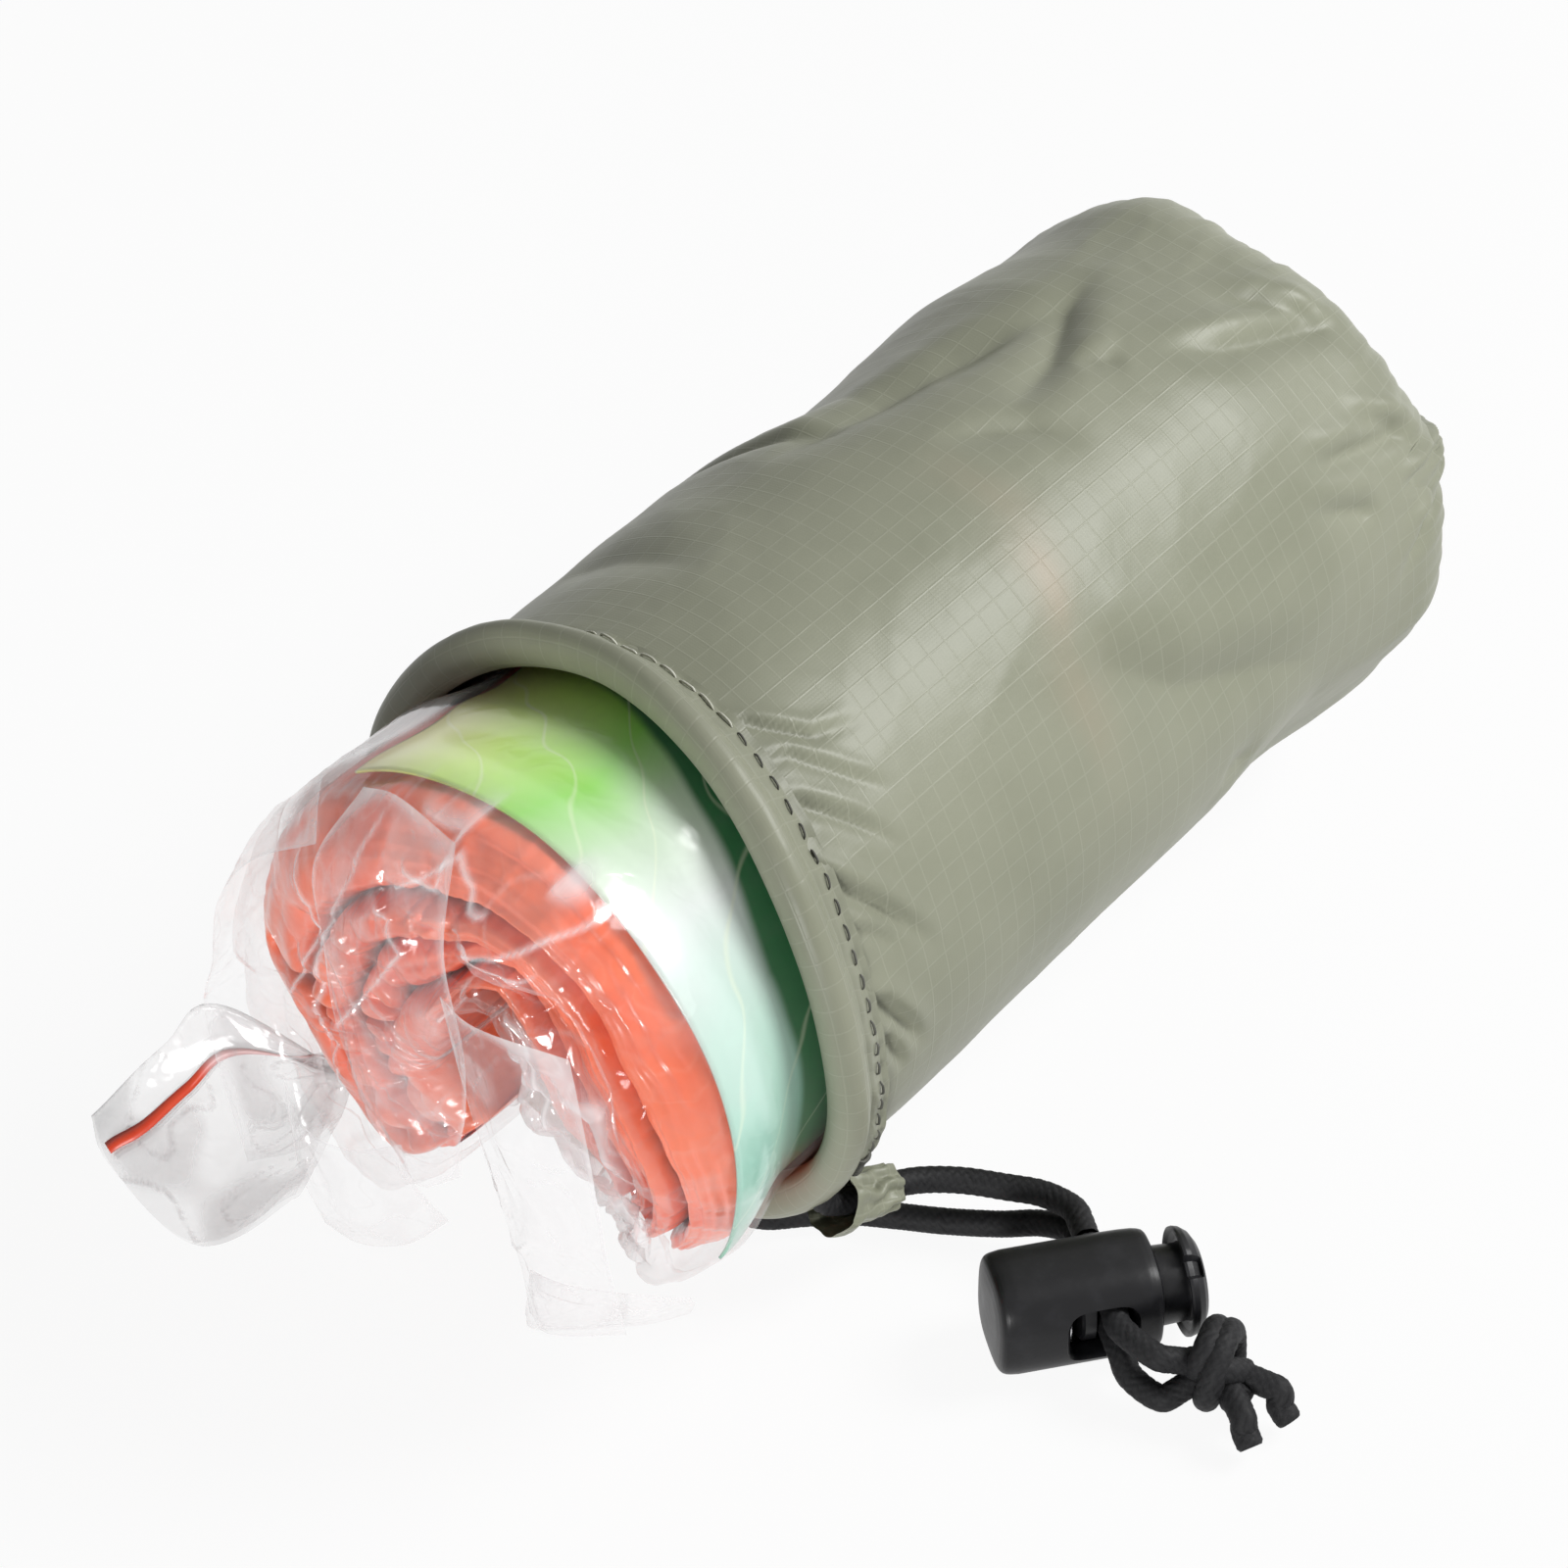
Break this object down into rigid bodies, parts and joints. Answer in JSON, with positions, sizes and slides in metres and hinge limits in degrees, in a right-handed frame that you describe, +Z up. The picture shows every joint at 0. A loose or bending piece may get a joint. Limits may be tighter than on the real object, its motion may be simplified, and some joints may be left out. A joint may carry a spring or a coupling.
{
  "type": "emergency sleeping bag in stuff sack",
  "caption": "Folded orange film sleeping bag in a clear zip bag with its card, half out of an olive drawstring stuff sack with a black cord lock.",
  "frame": {"origin": "on the floor under the middle of the box of the sack and the packet, without the free cord", "axes": "+X along the sack from its mouth to its closed end, +Z up, +Y towards the side with the zip strip"},
  "size_m": [0.1662, 0.1387, 0.078],
  "materials": {
    "ripstop": "satin ripstop weave",
    "thread_light": "matte",
    "thread_dark": "matte",
    "braid": "matte braid",
    "lock_plastic": "satin",
    "spring_steel": "bright",
    "orange_film": "glossy metallised film",
    "card_print": "gloss print",
    "clear_film": "clear gloss",
    "red_line": "gloss"
  },
  "bodies": {
    "sack": {"sack_body": "ripstop", "hem_casing": "ripstop", "hem_stitching": "thread_light", "hem_bartack": "thread_dark", "side_seam": "ripstop", "bottom_seam": "ripstop", "corner_tuck_right": "ripstop", "corner_tuck_left": "ripstop", "cord_outlet": "ripstop", "drawcord_in_hem": "braid", "drawcord_leg_upper": "braid", "drawcord_leg_lower": "braid", "drawcord_strand_upper": "braid", "drawcord_strand_lower": "braid", "drawcord_knot": "braid", "drawcord_tail_upper": "braid", "drawcord_tail_lower": "braid"},
    "packet": {"clear_zip_bag": "clear_film", "folded_film_bag": "orange_film", "printed_card": "card_print", "zip_rib_track": "clear_film", "zip_groove_track": "clear_film", "zip_red_line": "red_line"},
    "lock": {"cordlock_barrel": "lock_plastic", "cordlock_spring": "spring_steel"},
    "plunger": {"cordlock_plunger": "lock_plastic"}
  },
  "joints": [
    {"name": "packet_pull", "type": "slide", "parent": "sack", "child": "packet", "axis": [-1, 0, 0], "range_m": [0, 0.14]},
    {"name": "lock_slide", "type": "slide", "parent": "sack", "child": "lock", "axis": [0.0499, 0.9988, 0], "range_m": [0, 0.012], "deforming": ["drawcord_leg_upper", "drawcord_leg_lower", "drawcord_strand_upper", "drawcord_strand_lower"]},
    {"name": "plunger_press", "type": "slide", "parent": "lock", "child": "plunger", "axis": [-0.7869, 0.617, 0], "range_m": [0, 0.003], "stiffness_N_per_m": 800, "springref_m": -0.001, "deforming": ["cordlock_spring"]}
  ]
}
